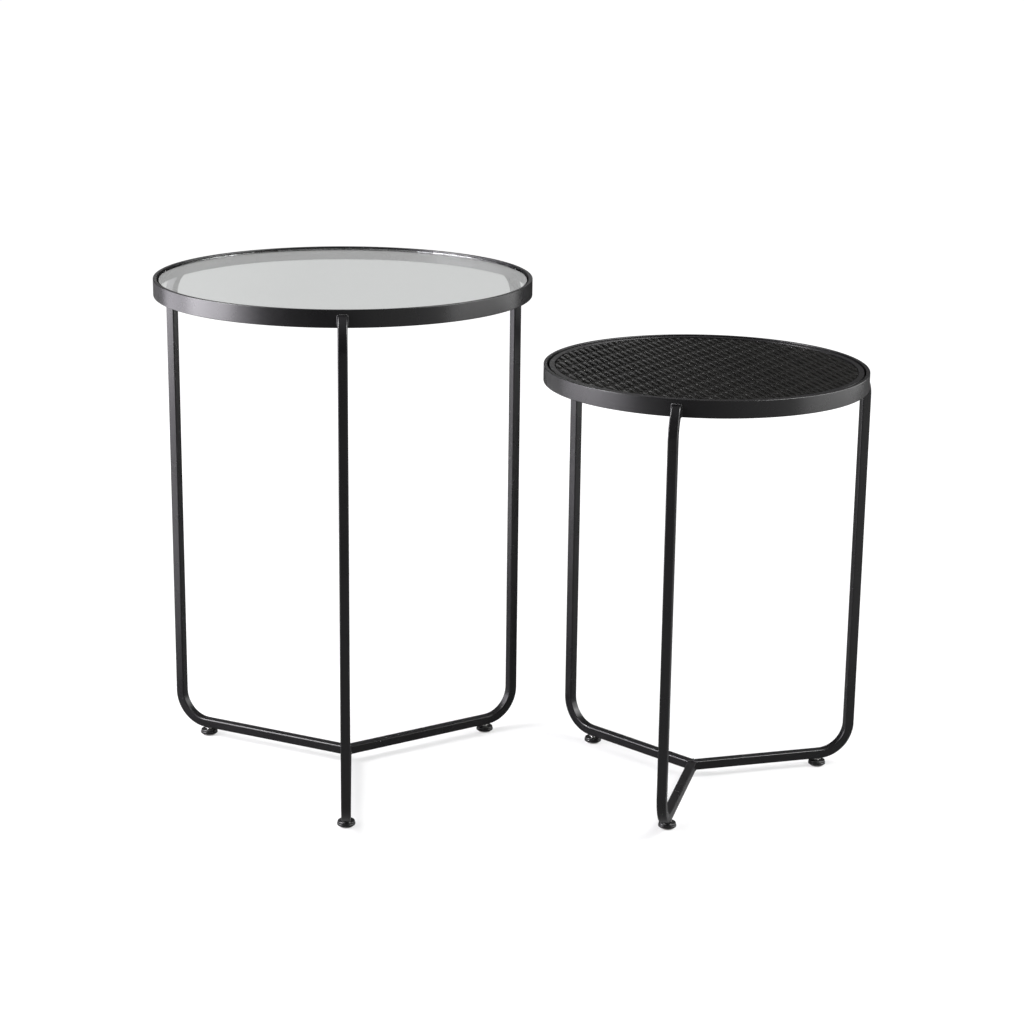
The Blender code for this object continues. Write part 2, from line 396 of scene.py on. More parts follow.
def coatedFinish(name, look):
    # sprayed or moulded skins: pebbled, a little uneven in sheen, with dust on top
    material, tree, shader = openFinish(name)
    place = objectPlace(tree)
    coat = effect(tree, "coat", {"Vector": place, "Pebble": look["pebble"], "Patch": look["patch"]})
    dust = effect(tree, "dust", {"Vector": place, "Amount": look["dust"]})
    skin = blended(tree, coat["Mottle"], look["dark"], look["light"])
    tree.links.new(blended(tree, dust["Mask"], skin, look["dustColour"]), shader.inputs["Base Color"])
    least = look["roughness"] - look["unevenness"]
    most = look["roughness"] + look["unevenness"]
    sheen = between(tree, coat["Mottle"], least, most)
    dulled = calc(tree, "MULTIPLY_ADD", dust["Mask"], effectLook["dustDulls"], sheen)
    tree.links.new(dulled, shader.inputs["Roughness"])
    shader.inputs["Specular IOR Level"].default_value = look["specular"]
    shader.inputs["Metallic"].default_value = look.get("metallic", 0.0)
    raised(tree, shader, coat["Height"], look["pebbleDepth"])
    return material


powderCoat = {
    "dark": (0.0060, 0.0058, 0.0063), "light": (0.0090, 0.0087, 0.0094),
    "roughness": 0.28, "unevenness": 0.03, "specular": 0.50,
    "pebble": 950.0, "pebbleDepth": 0.000012, "patch": 22.0,
    "dust": 0.015, "dustColour": (0.30, 0.29, 0.28),
}
mouldedBlack = {
    "dark": (0.010, 0.010, 0.010), "light": (0.015, 0.015, 0.015),
    "roughness": 0.22, "unevenness": 0.05, "specular": 0.50,
    "pebble": 2400.0, "pebbleDepth": 0.000008, "patch": 160.0,
    "dust": 0.03, "dustColour": (0.30, 0.29, 0.28),
}
blackRubber = {
    "dark": (0.012, 0.012, 0.012), "light": (0.018, 0.018, 0.018),
    "roughness": 0.68, "unevenness": 0.06, "specular": 0.40,
    "pebble": 1800.0, "pebbleDepth": 0.000015, "patch": 90.0,
    "dust": 0.05, "dustColour": (0.30, 0.29, 0.28),
}
whitePad = {
    "dark": (0.56, 0.55, 0.52), "light": (0.68, 0.67, 0.64),
    "roughness": 0.62, "unevenness": 0.05, "specular": 0.40,
    "pebble": 3000.0, "pebbleDepth": 0.00004, "patch": 260.0,
    "dust": 0.02, "dustColour": (0.45, 0.43, 0.40),
}
zincPlate = {
    "dark": (0.66, 0.66, 0.65), "light": (0.80, 0.79, 0.76),
    "roughness": 0.22, "unevenness": 0.08, "specular": 0.50, "metallic": 1.0,
    "pebble": 4200.0, "pebbleDepth": 0.000004, "patch": 420.0,
    "dust": 0.02, "dustColour": (0.30, 0.29, 0.28),
}


def boardFinish(look):
    # black-stained fibreboard: long soft fibres under a dull stain
    material, tree, shader = openFinish("stainedBoard")
    place = objectPlace(tree)
    grain = effect(tree, "fibre", {"Vector": place, "Along": look["along"], "Across": look["across"]})
    dust = effect(tree, "dust", {"Vector": place, "Amount": look["dust"]})
    stain = blended(tree, grain["Streak"], look["dark"], look["light"])
    tree.links.new(blended(tree, dust["Mask"], stain, look["dustColour"]), shader.inputs["Base Color"])
    tree.links.new(between(tree, grain["Patch"], *look["roughness"]), shader.inputs["Roughness"])
    raised(tree, shader, grain["Streak"], look["grainDepth"])
    return material


def strandFinish(look, middle):
    # dyed cane strips: each strip its own shade, with fibres along it
    material, tree, shader = openFinish("dyedCane")
    along = add(tree, "ShaderNodeUVMap", uv_map="stripMap").outputs[0]
    tone = add(tree, "ShaderNodeAttribute", attribute_name="stripTone").outputs["Fac"]
    place = objectPlace(tree)
    grain = effect(tree, "fibre", {"Vector": along, "Along": look["along"], "Across": look["across"]})
    dust = effect(tree, "dust", {"Vector": place, "Amount": look["dust"], "Speck": look["speck"]})
    dyed = blended(tree, tone, look["dark"], look["light"])
    worn = blended(tree, calc(tree, "MULTIPLY", grain["Streak"], look["fade"]), dyed, look["fibre"])
    tree.links.new(blended(tree, dust["Mask"], worn, look["dustColour"]), shader.inputs["Base Color"])
    # strips shine on their crowns and are dull down between them
    height = splitUp(tree, place)["Z"]
    crown = ranged(tree, height, middle + look["hollow"], middle + look["crown"], 0.0, 1.0, "SMOOTHSTEP")
    shine = between(tree, grain["Streak"], *look["roughness"])
    tree.links.new(mixed(tree, crown, look["hollowRoughness"], shine), shader.inputs["Roughness"])
    shader.inputs["Specular IOR Level"].default_value = look["specular"]
    raised(tree, shader, grain["Streak"], look["grainDepth"])
    return material


def glassFinish(look):
    # clear float glass with its faint grey cast; the few smears show only in the gloss
    material, tree, shader = openFinish("clearGlass")
    shader.inputs["Base Color"].default_value = (*look["tint"], 1.0)
    shader.inputs["Transmission Weight"].default_value = 1.0
    shader.inputs["IOR"].default_value = look["ior"]
    coat = effect(tree, "coat", {"Vector": objectPlace(tree), "Patch": look["patch"]})
    smear = ranged(tree, coat["Mottle"], look["smearFrom"], 1.0, 0.0, look["haze"])
    tree.links.new(smear, shader.inputs["Roughness"])
    return material


stainedBoard = {
    "dark": (0.012, 0.011, 0.010), "light": (0.026, 0.024, 0.022),
    "along": 70.0, "across": 1400.0, "grainDepth": 0.00004, "roughness": (0.7, 0.9),
    "dust": 0.03, "dustColour": (0.30, 0.28, 0.26),
}
dyedCane = {
    "dark": (0.0012, 0.0011, 0.0010), "light": (0.0042, 0.0040, 0.0036), "fibre": (0.016, 0.015, 0.0135),
    "fade": 0.25, "along": 90.0, "across": 2800.0, "grainDepth": 0.00006,
    "roughness": (0.13, 0.27), "hollowRoughness": 0.7, "hollow": -0.0001, "crown": 0.0007, "specular": 0.38,
    "dust": 0.004, "speck": 1500.0, "dustColour": (0.22, 0.21, 0.20),
}
clearGlass = {"tint": (0.86, 0.885, 0.875), "ior": 1.52, "patch": 6.0, "smearFrom": 0.55, "haze": 0.03}

finishes = {
    "powder_coat": coatedFinish("powderCoat", powderCoat),
    "black_moulding": coatedFinish("mouldedBlack", mouldedBlack),
    "black_rubber": coatedFinish("blackRubber", blackRubber),
    "white_pad": coatedFinish("whitePad", whitePad),
    "plated_steel": coatedFinish("zincPlate", zincPlate),
    "black_board": boardFinish(stainedBoard),
    "black_weave": strandFinish(dyedCane, middleOf("woven_panel").z),
    "clear_glass": glassFinish(clearGlass),
}
print("finishes made:", len(finishes))


# Rims: flat bar rolled into a ring, standing on edge

rimBar = {"corner": 0.0007, "cornerSteps": 4, "segments": 288}


def ringShape():
    tree, given, result = openShape("rolledRing", {
        "Middle Radius": "Float", "Middle Height": "Float", "Wall": "Float", "Depth": "Float",
        "Corner": "Float", "Corner Steps": "Int", "Segments": "Int", "Place": "Vector",
    })
    circle = {"Resolution": given["Segments"], "Radius": given["Middle Radius"]}
    path = add(tree, "GeometryNodeCurvePrimitiveCircle", circle).outputs[0]
    bar = easedBar(tree, given["Wall"], given["Depth"], given["Corner Steps"], given["Corner"])
    ring = moved(tree, swept(tree, path, bar), xyz(tree, z=given["Middle Height"]))
    closeShape(tree, given, result, moved(tree, ring, given["Place"]))
    return tree


def addRims():
    tree = ringShape()
    for key, table in tables.items():
        rim = table["rim"]
        ring = grown(f"{key}_rim_bar", tree, {
            "Middle Radius": (rim["inner"] + rim["outer"]) / 2,
            "Middle Height": (rim["bottom"] + rim["top"]) / 2,
            "Wall": rim["outer"] - rim["inner"], "Depth": rim["top"] - rim["bottom"],
            "Corner": rimBar["corner"], "Corner Steps": rimBar["cornerSteps"], "Segments": rimBar["segments"],
            "Place": table["centre"], "Finish": finishes["powder_coat"],
        })
        fitted(flatSided(ring), table["body"], "powder_coat", f"{key}_rim")


# Ledge and gasket: what each top rests on, inside the rim

ledgeRing = {"corner": 0.0005, "segments": 192}
gasketRing = {"corner": 0.00025, "segments": 192}


def addLedges():
    for key, table in tables.items():
        for part, slot, look in (("ledge", "powder_coat", ledgeRing), ("gasket", "black_rubber", gasketRing)):
            size = ringOf(f"{key}_{part}", table["centre"])
            outline = [
                (size["inner"], size["bottom"]), (size["outer"], size["bottom"]),
                (size["outer"], size["top"]), (size["inner"], size["top"]),
            ]
            shape = rounded(outline, [look["corner"]] * 4, steps=2)
            ring = turned(f"{key}_{part}_ring", shape, table["centre"], finishes[slot], look["segments"])
            fitted(ring, table["body"], slot, f"{key}_{part}")


# Legs: square tube, bent twice, coped onto the rim and mitred to the other two

legTube = {
    "corner": 0.0015, "cornerSteps": 4, "bottomBend": 0.034, "topBend": 0.036, "bendSteps": 20,
    "reachIn": 0.010, "rimSegments": 288, "copeDepth": 0.12,
}
mitre = math.radians(30)  # the three bars are 120 degrees apart, so each end is cut at 30 on both sides


def bentTubeShape():
    tree, given, result = openShape("bentTube", {
        "Side": "Float", "Corner": "Float", "Corner Steps": "Int",
        "Bottom Bend": "Float", "Top Bend": "Float", "Bend Steps": "Int",
        "Rim Radius": "Float", "Rim Height": "Float", "Rim Segments": "Int",
        "Cope Depth": "Float", "Turn": "Float", "Place": "Vector",
    })
    line = add(tree, "GeometryNodeMeshToCurve", {"Mesh": given["Geometry"]}).outputs[0]
    # of the line's four points, 1 is the bottom bend and 2 the top bend
    atTop = calc(tree, "GREATER_THAN", add(tree, "GeometryNodeInputIndex").outputs[0], 1.5)
    bends = {
        "Curve": line, "Count": given["Bend Steps"],
        "Radius": mixed(tree, atTop, given["Bottom Bend"], given["Top Bend"]),
    }
    bent = add(tree, "GeometryNodeFilletCurve", bends, mode="POLY").outputs[0]
    marked = stored(tree, bent, "along", add(tree, "GeometryNodeSplineParameter").outputs["Factor"])
    square = easedBar(tree, given["Side"], given["Side"], given["Corner Steps"], given["Corner"])
    tube = swept(tree, marked, square)
    # the inner end is cut to a point, where the three bars meet
    _, y, z = splitUp(tree, add(tree, "GeometryNodeInputPosition").outputs[0])
    point = calc(tree, "MULTIPLY", calc(tree, "ABSOLUTE", y), math.tan(mitre))
    mitred = add(tree, "GeometryNodeSetPosition", {
        "Geometry": tube, "Selection": calc(tree, "LESS_THAN", recalled(tree, "along"), sameSpot),
        "Position": xyz(tree, point, y, z),
    }).outputs[0]
    # the upper end is coped to the rim's curve
    drum = add(tree, "GeometryNodeMeshCylinder", {
        "Vertices": given["Rim Segments"], "Radius": given["Rim Radius"], "Depth": given["Cope Depth"],
    }).outputs[0]
    cope = {"Mesh 1": mitred, "Mesh 2": moved(tree, drum, xyz(tree, z=given["Rim Height"]))}
    coped = add(tree, "GeometryNodeMeshBoolean", cope, operation="DIFFERENCE").outputs[0]
    closeShape(tree, given, result, moved(tree, coped, given["Place"], given["Turn"]))
    return tree


def legLine(table, leg):
    # the tube's corner points before bending, in the leg's own plane, and how far its top leans in
    standoff = leg["reach"] - table["rim"]["outer"]
    lean = math.acos(1 - standoff / legTube["topBend"])
    weld = leg["top"] - leg["tube"] / 2 / math.sin(lean)
    corner = weld - legTube["topBend"] * (math.sin(lean) - math.tan(lean / 2))
    inward = Vector((-math.sin(lean), 0, math.cos(lean)))
    end = Vector((table["rim"]["outer"], 0, weld)) + inward * legTube["reachIn"]
    low = leg["barMiddle"]
    points = [(0, 0, low), (leg["reach"], 0, low), (leg["reach"], 0, corner), tuple(end)]
    return points, lean, weld


def addLegs():
    tree = bentTubeShape()
    for key, table in tables.items():
        for side, leg in table["legs"].items():
            points, _, _ = legLine(table, leg)
            tube = grown(f"{key}_tube_{side}", tree, {
                "Side": leg["tube"], "Corner": legTube["corner"], "Corner Steps": legTube["cornerSteps"],
                "Bottom Bend": legTube["bottomBend"], "Top Bend": legTube["topBend"],
                "Bend Steps": legTube["bendSteps"], "Rim Radius": table["rim"]["outer"] + hair,
                "Rim Height": table["rim"]["bottom"], "Rim Segments": legTube["rimSegments"],
                "Cope Depth": legTube["copeDepth"], "Turn": leg["turn"], "Place": table["centre"],
                "Finish": finishes["powder_coat"],
            }, polyline(f"{key}_line_{side}", [(points, False)]))
            fitted(flatSided(tube), table["body"], "powder_coat", f"{key}_leg_{side}")


# Welds: a rippled bead round each coped end and over the three-way joint

weldBead = {
    "rimRadius": 0.0011, "jointRadius": 0.0007, "ripple": 0.0011, "unevenness": 0.28, "spacing": 0.00022,
    "narrowest": 0.86, "swell": 0.22, "noiseScale": 380.0, "sides": 10, "cornerCut": 0.4,
}


def beadShape():
    tree, given, result = openShape("weldBead", {
        "Bead Radius": "Float", "Ripple": "Float", "Unevenness": "Float", "Spacing": "Float",
        "Seed": "Float",
    })
    seam = add(tree, "GeometryNodeMeshToCurve", {"Mesh": given["Geometry"]}).outputs[0]
    fine = add(tree, "GeometryNodeResampleCurve", {"Curve": seam, "Length": given["Spacing"]}, mode="LENGTH")
    run = add(tree, "GeometryNodeSplineParameter").outputs["Length"]
    wave = calc(tree, "SINE", calc(tree, "DIVIDE", calc(tree, "MULTIPLY", run, math.pi), given["Ripple"]))
    humps = calc(tree, "ABSOLUTE", wave)
    puddles = calc(tree, "MULTIPLY_ADD", humps, weldBead["swell"], weldBead["narrowest"])
    noise = add(tree, "ShaderNodeTexNoise", {
        "Vector": add(tree, "GeometryNodeInputPosition").outputs[0], "W": given["Seed"],
        "Scale": weldBead["noiseScale"],
    }, noise_dimensions="4D").outputs["Fac"]
    swing = calc(tree, "MULTIPLY", calc(tree, "SUBTRACT", noise, 0.5), given["Unevenness"])
    radius = calc(tree, "MULTIPLY", calc(tree, "ADD", puddles, swing), given["Bead Radius"])
    circle = {"Resolution": weldBead["sides"], "Radius": 1.0}
    section = add(tree, "GeometryNodeCurvePrimitiveCircle", circle).outputs[0]
    closeShape(tree, given, result, swept(tree, fine.outputs[0], section, Scale=radius))
    return tree


def inTable(table, leg, point):
    # a point of the leg's own plane, in the row frame
    return table["centre"] + Matrix.Rotation(leg["turn"], 3, "Z") @ Vector(point)


def copeSeam(table, leg):
    # where the tube's outline meets the rim
    _, lean, weld = legLine(table, leg)
    radius = table["rim"]["outer"]
    half = leg["tube"] / 2
    outline = rounded([(-half, -half), (half, -half), (half, half), (-half, half)], [legTube["corner"]] * 4)
    seam = []
    for across, up in outline:
        surface = math.sqrt(radius**2 - across**2)
        start = Vector((radius - up * math.cos(lean), across, weld - up * math.sin(lean)))
        rise = (start.x - surface) / math.tan(lean)
        seam.append(tuple(inTable(table, leg, (surface, across, start.z + rise))))
    return seam


def jointSeams(table):
    # from the joint's centre out over the top, down the inner corner and back under, between each two bars
    seams = []
    for leg in table["legs"].values():
        half = leg["tube"] / 2
        out = half / math.cos(mitre) - legTube["corner"] * weldBead["cornerCut"]
        turn = leg["turn"] + 2 * mitre
        ends = [(0, half), (out, half), (out, -half), (0, -half)]
        seams.append([
            tuple(table["centre"] + Vector((r * math.cos(turn), r * math.sin(turn), leg["barMiddle"] + h)))
            for r, h in ends
        ])
    return seams


def addWelds():
    tree = beadShape()
    for index, (key, table) in enumerate(tables.items()):
        welds = {
            "rim": ([(copeSeam(table, leg), True) for leg in table["legs"].values()], weldBead["rimRadius"]),
            "joint": ([(seam, False) for seam in jointSeams(table)], weldBead["jointRadius"]),
        }
        for where, (runs, radius) in welds.items():
            bead = grown(f"{key}_{where}_welds", tree, {
                "Bead Radius": radius, "Ripple": weldBead["ripple"], "Unevenness": weldBead["unevenness"],
                "Spacing": weldBead["spacing"], "Seed": float(index), "Finish": finishes["powder_coat"],
            }, polyline(f"{key}_{where}_seams", runs))
            fitted(bead, table["body"], "powder_coat")


# Levelling feet: collar in the tube, threaded stem, moulded base, pad

threadedStem = {"pitch": 0.0008, "depth": 0.0003, "turnSteps": 24, "segments": 32, "sharp": math.radians(40)}
footCollar = {"flange": 0.0012, "corner": 0.0002, "segments": 48}
footBase = {
    "skirt": 0.0019, "step": 0.0023, "inset": 0.0004, "topEase": 0.0011, "edge": 0.0003,
    "socketGap": 0.0003, "socketDepth": 0.0033, "segments": 96,
}
footPad = {"edge": 0.0003, "underEdge": 0.0009, "segments": 64}


def stemShape():
    tree, given, result = openShape("threadedStem", {
        "Core Radius": "Float", "Height": "Float", "Pitch": "Float", "Depth": "Float",
        "Turn Steps": "Int", "Segments": "Int", "Place": "Vector",
    })
    core = add(tree, "GeometryNodeMeshCylinder", {
        "Vertices": given["Segments"], "Radius": given["Core Radius"], "Depth": given["Height"],
    }).outputs[0]
    inset = calc(tree, "SUBTRACT", given["Height"], given["Pitch"])
    helix = add(tree, "GeometryNodeCurveSpiral", {
        "Resolution": given["Turn Steps"], "Rotations": calc(tree, "DIVIDE", inset, given["Pitch"]),
        "Start Radius": given["Core Radius"], "End Radius": given["Core Radius"], "Height": inset,
    }).outputs[0]
    helix = moved(tree, helix, xyz(tree, z=calc(tree, "MULTIPLY", inset, -0.5)))
    ridge = add(tree, "GeometryNodeCurvePrimitiveCircle", {"Resolution": 4, "Radius": given["Depth"]})
    both = add(tree, "GeometryNodeJoinGeometry")
    tree.links.new(core, both.inputs[0])
    tree.links.new(swept(tree, helix, ridge.outputs[0]), both.inputs[0])
    closeShape(tree, given, result, moved(tree, both.outputs[0], given["Place"]))
    return tree


def addStem(key, side, glide, centre, stems):
    size = ringOf(f"{key}_stem_{side}", centre)
    stem = grown(f"{key}_threaded_stem_{side}", stems, {
        "Core Radius": size["outer"] - threadedStem["depth"], "Height": size["top"] - size["bottom"],
        "Pitch": threadedStem["pitch"], "Depth": threadedStem["depth"],
        "Turn Steps": threadedStem["turnSteps"], "Segments": threadedStem["segments"],
        "Place": centre + Vector((0, 0, (size["top"] + size["bottom"]) / 2)),
        "Finish": finishes["plated_steel"],
    })
    stem.data.set_sharp_from_angle(angle=threadedStem["sharp"])
    fitted(stem, glide, "plated_steel", f"{key}_stem_{side}")


def addCollar(key, side, body, leg):
    # its flange sits against the bar's underside, and its sleeve goes up inside
    size = ringOf(f"{key}_insert_{side}", leg["foot"])
    bore, flange, bottom, top = size["inner"], size["outer"], size["bottom"], size["top"]
    sleeve = flange - footCollar["flange"]
    seat = leg["barMiddle"] - leg["tube"] / 2 - hair
    outline = [(bore, bottom), (flange, bottom), (flange, seat), (sleeve, seat), (sleeve, top), (bore, top)]
    ease = footCollar["corner"]
    shape = rounded(outline, [ease, ease, ease, 0, ease, ease], steps=2)
    steel = finishes["plated_steel"]
    collar = turned(f"{key}_collar_{side}", shape, leg["foot"], steel, footCollar["segments"])
    fitted(collar, body, "plated_steel", f"{key}_insert_{side}")


def addBase(key, side, glide, centre):
    # two tiers and a socket for the stem
    size = ringOf(f"{key}_foot_{side}", centre)
    bottom, top, wide = size["bottom"], size["top"], size["outer"]
    waist = wide - footBase["inset"]
    socket = ringOf(f"{key}_stem_{side}", centre)["outer"] + footBase["socketGap"]
    floor = top - footBase["socketDepth"]
    outline = [
        (0, bottom), (wide, bottom), (wide, bottom + footBase["skirt"]), (waist, bottom + footBase["step"]),
        (waist, top), (socket, top), (socket, floor), (0, floor),
    ]
    edge = footBase["edge"]
    shape = rounded(outline, [0, edge, edge, edge, footBase["topEase"], edge, 0, 0])
    base = turned(f"{key}_foot_base_{side}", shape, centre, finishes["black_moulding"], footBase["segments"])
    fitted(base, glide, "black_moulding", f"{key}_foot_{side}")


def addPad(key, side, glide, centre):
    size = ringOf(f"{key}_pad_{side}", centre)
    bottom, top, wide = size["bottom"], size["top"], size["outer"]
    outline = [(0, bottom), (wide, bottom), (wide, top), (0, top)]
    shape = rounded(outline, [0, footPad["underEdge"], footPad["edge"], 0])
    pad = turned(f"{key}_foot_pad_{side}", shape, centre, finishes["white_pad"], footPad["segments"])
    fitted(pad, glide, "white_pad", f"{key}_pad_{side}")


def addFeet():
    stems = stemShape()
    for key, table in tables.items():
        for side, leg in table["legs"].items():
            glide = f"{key}_glide_{side}"
            addStem(key, side, glide, leg["foot"], stems)
            addCollar(key, side, table["body"], leg)
            addBase(key, side, glide, leg["foot"])
            addPad(key, side, glide, leg["foot"])


# Glass top

glassPane = {"arris": 0.0008, "ease": 0.0003, "segments": 288}


def addGlass():
    table = tables["large"]
    size = ringOf("glass_top", table["centre"])
    wide, bottom, top, arris = size["outer"], size["bottom"], size["top"], glassPane["arris"]
    outline = [
        (0, bottom), (wide - arris, bottom), (wide, bottom + arris),
        (wide, top - arris), (wide - arris, top), (0, top),
    ]
    ease = glassPane["ease"]
    shape = rounded(outline, [0, ease, ease, ease, ease, 0], steps=3)
    pane = turned("glass_pane", shape, table["centre"], finishes["clear_glass"], glassPane["segments"])
    fitted(pane, "glass", "clear_glass", "glass_top")


# Lift-out top: angle ring, board, and cane strips woven two over, two under

angleRing = {"ease": 0.0005, "lip": 0.0015, "panelGap": 0.0005, "segments": 288}
backingBoard = {"edge": 0.0003, "segments": 192}
caneWeave = {
    "long": {"pitch": 0.0082, "width": 0.0077, "thickness": 0.0021, "lift": 0.00018, "seed": 3},
    "cross": {"pitch": 0.0070, "width": 0.0066, "thickness": 0.0010, "lift": 0.00042, "seed": 8},
    "longTurn": 105.0, "face": 0.7, "easing": 0.75, "samples": 4, "sides": 12, "edgeGap": 0.0002,
    "sway": 0.00036, "swayUp": 0.6, "swayScale": 45.0, "swayStep": 0.37, "mapStep": 0.173, "weld": 0.00001,
}


def stripLines(tree, given, middle, squared, y):
    # one straight line for each strip, as long as the circle lets it be
    first = calc(tree, "MULTIPLY", calc(tree, "MULTIPLY", middle, given["Pitch"]), -1.0)
    rows = add(tree, "GeometryNodeMeshLine", {
        "Count": given["Strips"],
        "Start Location": xyz(tree, y=first), "Offset": xyz(tree, y=given["Pitch"]),
    }).outputs[0]
    halfWidth = calc(tree, "MULTIPLY", given["Width"], 0.5)
    near = calc(tree, "MAXIMUM", calc(tree, "SUBTRACT", calc(tree, "ABSOLUTE", y), halfWidth), 0.0)
    reach = calc(tree, "SQRT", calc(tree, "SUBTRACT", squared, calc(tree, "MULTIPLY", near, near)))
    unit = add(tree, "GeometryNodeCurvePrimitiveLine", {"Start": (-1, 0, 0), "End": (1, 0, 0)}).outputs[0]
    placed = add(tree, "GeometryNodeInstanceOnPoints", {
        "Points": rows, "Instance": unit, "Scale": xyz(tree, reach, 1.0, 1.0),
    }).outputs[0]
    number = add(tree, "GeometryNodeInputIndex").outputs[0]
    numbered = stored(tree, placed, "strip", number, domain="INSTANCE")
    loose = add(tree, "GeometryNodeRealizeInstances", {"Geometry": numbered}).outputs[0]
    sockets = {"Curve": loose, "Length": given["Step"]}
    return add(tree, "GeometryNodeResampleCurve", sockets, mode="LENGTH").outputs[0]


def twillOffset(tree, given, strip, middle, x):
    # over two and under two, each row one strip later than the last, and never quite straight
    row = calc(tree, "MULTIPLY", calc(tree, "SUBTRACT", strip, middle), given["Direction"])
    beat = calc(tree, "SUBTRACT", row, calc(tree, "DIVIDE", x, given["Cross Pitch"]))
    wave = calc(tree, "SINE", calc(tree, "MULTIPLY_ADD", beat, math.pi / 2, math.pi / 4))
    faced = calc(tree, "ADD", wave, given["Face"])
    easing = caneWeave["easing"]
    level = ranged(tree, faced, -easing, easing, -1.0, 1.0, "SMOOTHSTEP")
    noise = add(tree, "ShaderNodeTexNoise", {
        "Vector": xyz(tree, x, calc(tree, "MULTIPLY", strip, caneWeave["swayStep"])),
        "W": given["Seed"], "Scale": caneWeave["swayScale"], "Detail": 1.0,
    }, noise_dimensions="4D")
    drift = splitUp(tree, noise.outputs["Color"])
    upSway = calc(tree, "MULTIPLY", given["Sway"], caneWeave["swayUp"])
    sideways = calc(tree, "MULTIPLY", calc(tree, "SUBTRACT", drift[0], 0.5), given["Sway"])
    upwards = calc(tree, "MULTIPLY", calc(tree, "SUBTRACT", drift[1], 0.5), upSway)
    return xyz(tree, y=sideways, z=calc(tree, "MULTIPLY_ADD", level, given["Lift"], upwards))


def weaveShape():
    tree, given, result = openShape("caneStrips", {
        "Radius": "Float", "Strips": "Int", "Pitch": "Float", "Cross Pitch": "Float", "Width": "Float",
        "Thickness": "Float", "Lift": "Float", "Face": "Float", "Direction": "Float", "Step": "Float",
        "Sway": "Float", "Seed": "Int", "Turn": "Float", "Place": "Vector",
    })
    middle = calc(tree, "MULTIPLY", calc(tree, "SUBTRACT", given["Strips"], 1.0), 0.5)
    squared = calc(tree, "MULTIPLY", given["Radius"], given["Radius"])
    x, y, z = splitUp(tree, add(tree, "GeometryNodeInputPosition").outputs[0])
    strip = recalled(tree, "strip")
    woven = add(tree, "GeometryNodeSetPosition", {
        "Geometry": stripLines(tree, given, middle, squared, y),
        "Offset": twillOffset(tree, given, strip, middle, x),
    }).outputs[0]
    upright = add(tree, "GeometryNodeSetCurveNormal", {"Curve": woven}, mode="Z_UP").outputs[0]
    circle = {"Resolution": caneWeave["sides"], "Radius": 0.5}
    oval = add(tree, "GeometryNodeTransform", {
        "Geometry": add(tree, "GeometryNodeCurvePrimitiveCircle", circle).outputs[0],
        "Scale": xyz(tree, given["Width"], given["Thickness"], 1.0),
    }).outputs[0]
    # every strip is trimmed to the circle
    over = calc(tree, "MAXIMUM", calc(tree, "SUBTRACT", squared, calc(tree, "MULTIPLY", y, y)), 0.0)
    limit = calc(tree, "SQRT", over)
    inside = calc(tree, "MAXIMUM", calc(tree, "MINIMUM", x, limit), calc(tree, "MULTIPLY", limit, -1.0))
    trimmed = add(tree, "GeometryNodeSetPosition", {
        "Geometry": swept(tree, upright, oval), "Position": xyz(tree, inside, y, z),
    }).outputs[0]
    whole = {"Geometry": trimmed, "Distance": caneWeave["weld"]}
    strips = add(tree, "GeometryNodeMergeByDistance", whole).outputs[0]
    # where each point lies along and across its own strip, and a shade for each strip
    spread = xyz(tree, calc(tree, "MULTIPLY_ADD", strip, caneWeave["mapStep"], x), y)
    shade = add(tree, "FunctionNodeRandomValue", {"ID": strip, "Seed": given["Seed"]}).outputs[1]
    laid = stored(tree, strips, "stripMap", spread, data_type="FLOAT2", domain="CORNER")
    toned = stored(tree, laid, "stripTone", shade)
    closeShape(tree, given, result, moved(tree, toned, given["Place"], given["Turn"]))
    return tree


def addTrayFrame(centre):
    ring = ringOf("tray_ring", centre)
    # face is the inner edge of the ring's flat face
    face = ringOf("woven_panel", centre)["outer"] + angleRing["panelGap"]
    inner, outer, bottom, top = ring["inner"], ring["outer"], ring["bottom"], ring["top"]
    lipTop = bottom + angleRing["lip"]
    ease = angleRing["ease"]
    outline = [(inner, bottom), (outer, bottom), (outer, top), (face, top), (face, lipTop), (inner, lipTop)]
    shape = rounded(outline, [ease, ease, ease, ease, 0, ease])
    angle = turned("tray_angle_ring", shape, centre, finishes["powder_coat"], angleRing["segments"])
    fitted(angle, "tray", "powder_coat", "tray_ring")

    board = ringOf("tray_board", centre)
    wide, bottom, top = board["outer"], board["bottom"], board["top"]
    edge = backingBoard["edge"]
    shape = rounded([(0, bottom), (wide, bottom), (wide, top), (0, top)], [0, edge, edge, 0], steps=2)
    backing = turned("tray_backing_board", shape, centre, finishes["black_board"], backingBoard["segments"])
    fitted(backing, "tray", "black_board", "tray_board")


def addWeave(centre):
    tree = weaveShape()
    weave = ringOf("woven_panel", centre)
    radius = weave["outer"] - caneWeave["edgeGap"]
    place = centre + Vector((0, 0, (weave["bottom"] + weave["top"]) / 2))
    layers = (
        ("cane_long_strips", 0.0, -1.0, caneWeave["long"], caneWeave["cross"]),
        ("cane_cross_strips", 90.0, 1.0, caneWeave["cross"], caneWeave["long"]),
    )
    for name, turn, direction, cane, other in layers:
        layer = grown(name, tree, {
            "Radius": radius, "Strips": int(2 * radius / cane["pitch"]), "Pitch": cane["pitch"],
            "Cross Pitch": other["pitch"], "Width": cane["width"], "Thickness": cane["thickness"],
            "Lift": -direction * cane["lift"], "Face": caneWeave["face"], "Direction": direction,
            "Step": other["pitch"] / caneWeave["samples"], "Sway": caneWeave["sway"], "Seed": cane["seed"],
            "Turn": math.radians(caneWeave["longTurn"] + turn), "Place": place,
            "Finish": finishes["black_weave"],
        })
        fitted(layer, "tray", "black_weave", "woven_panel")


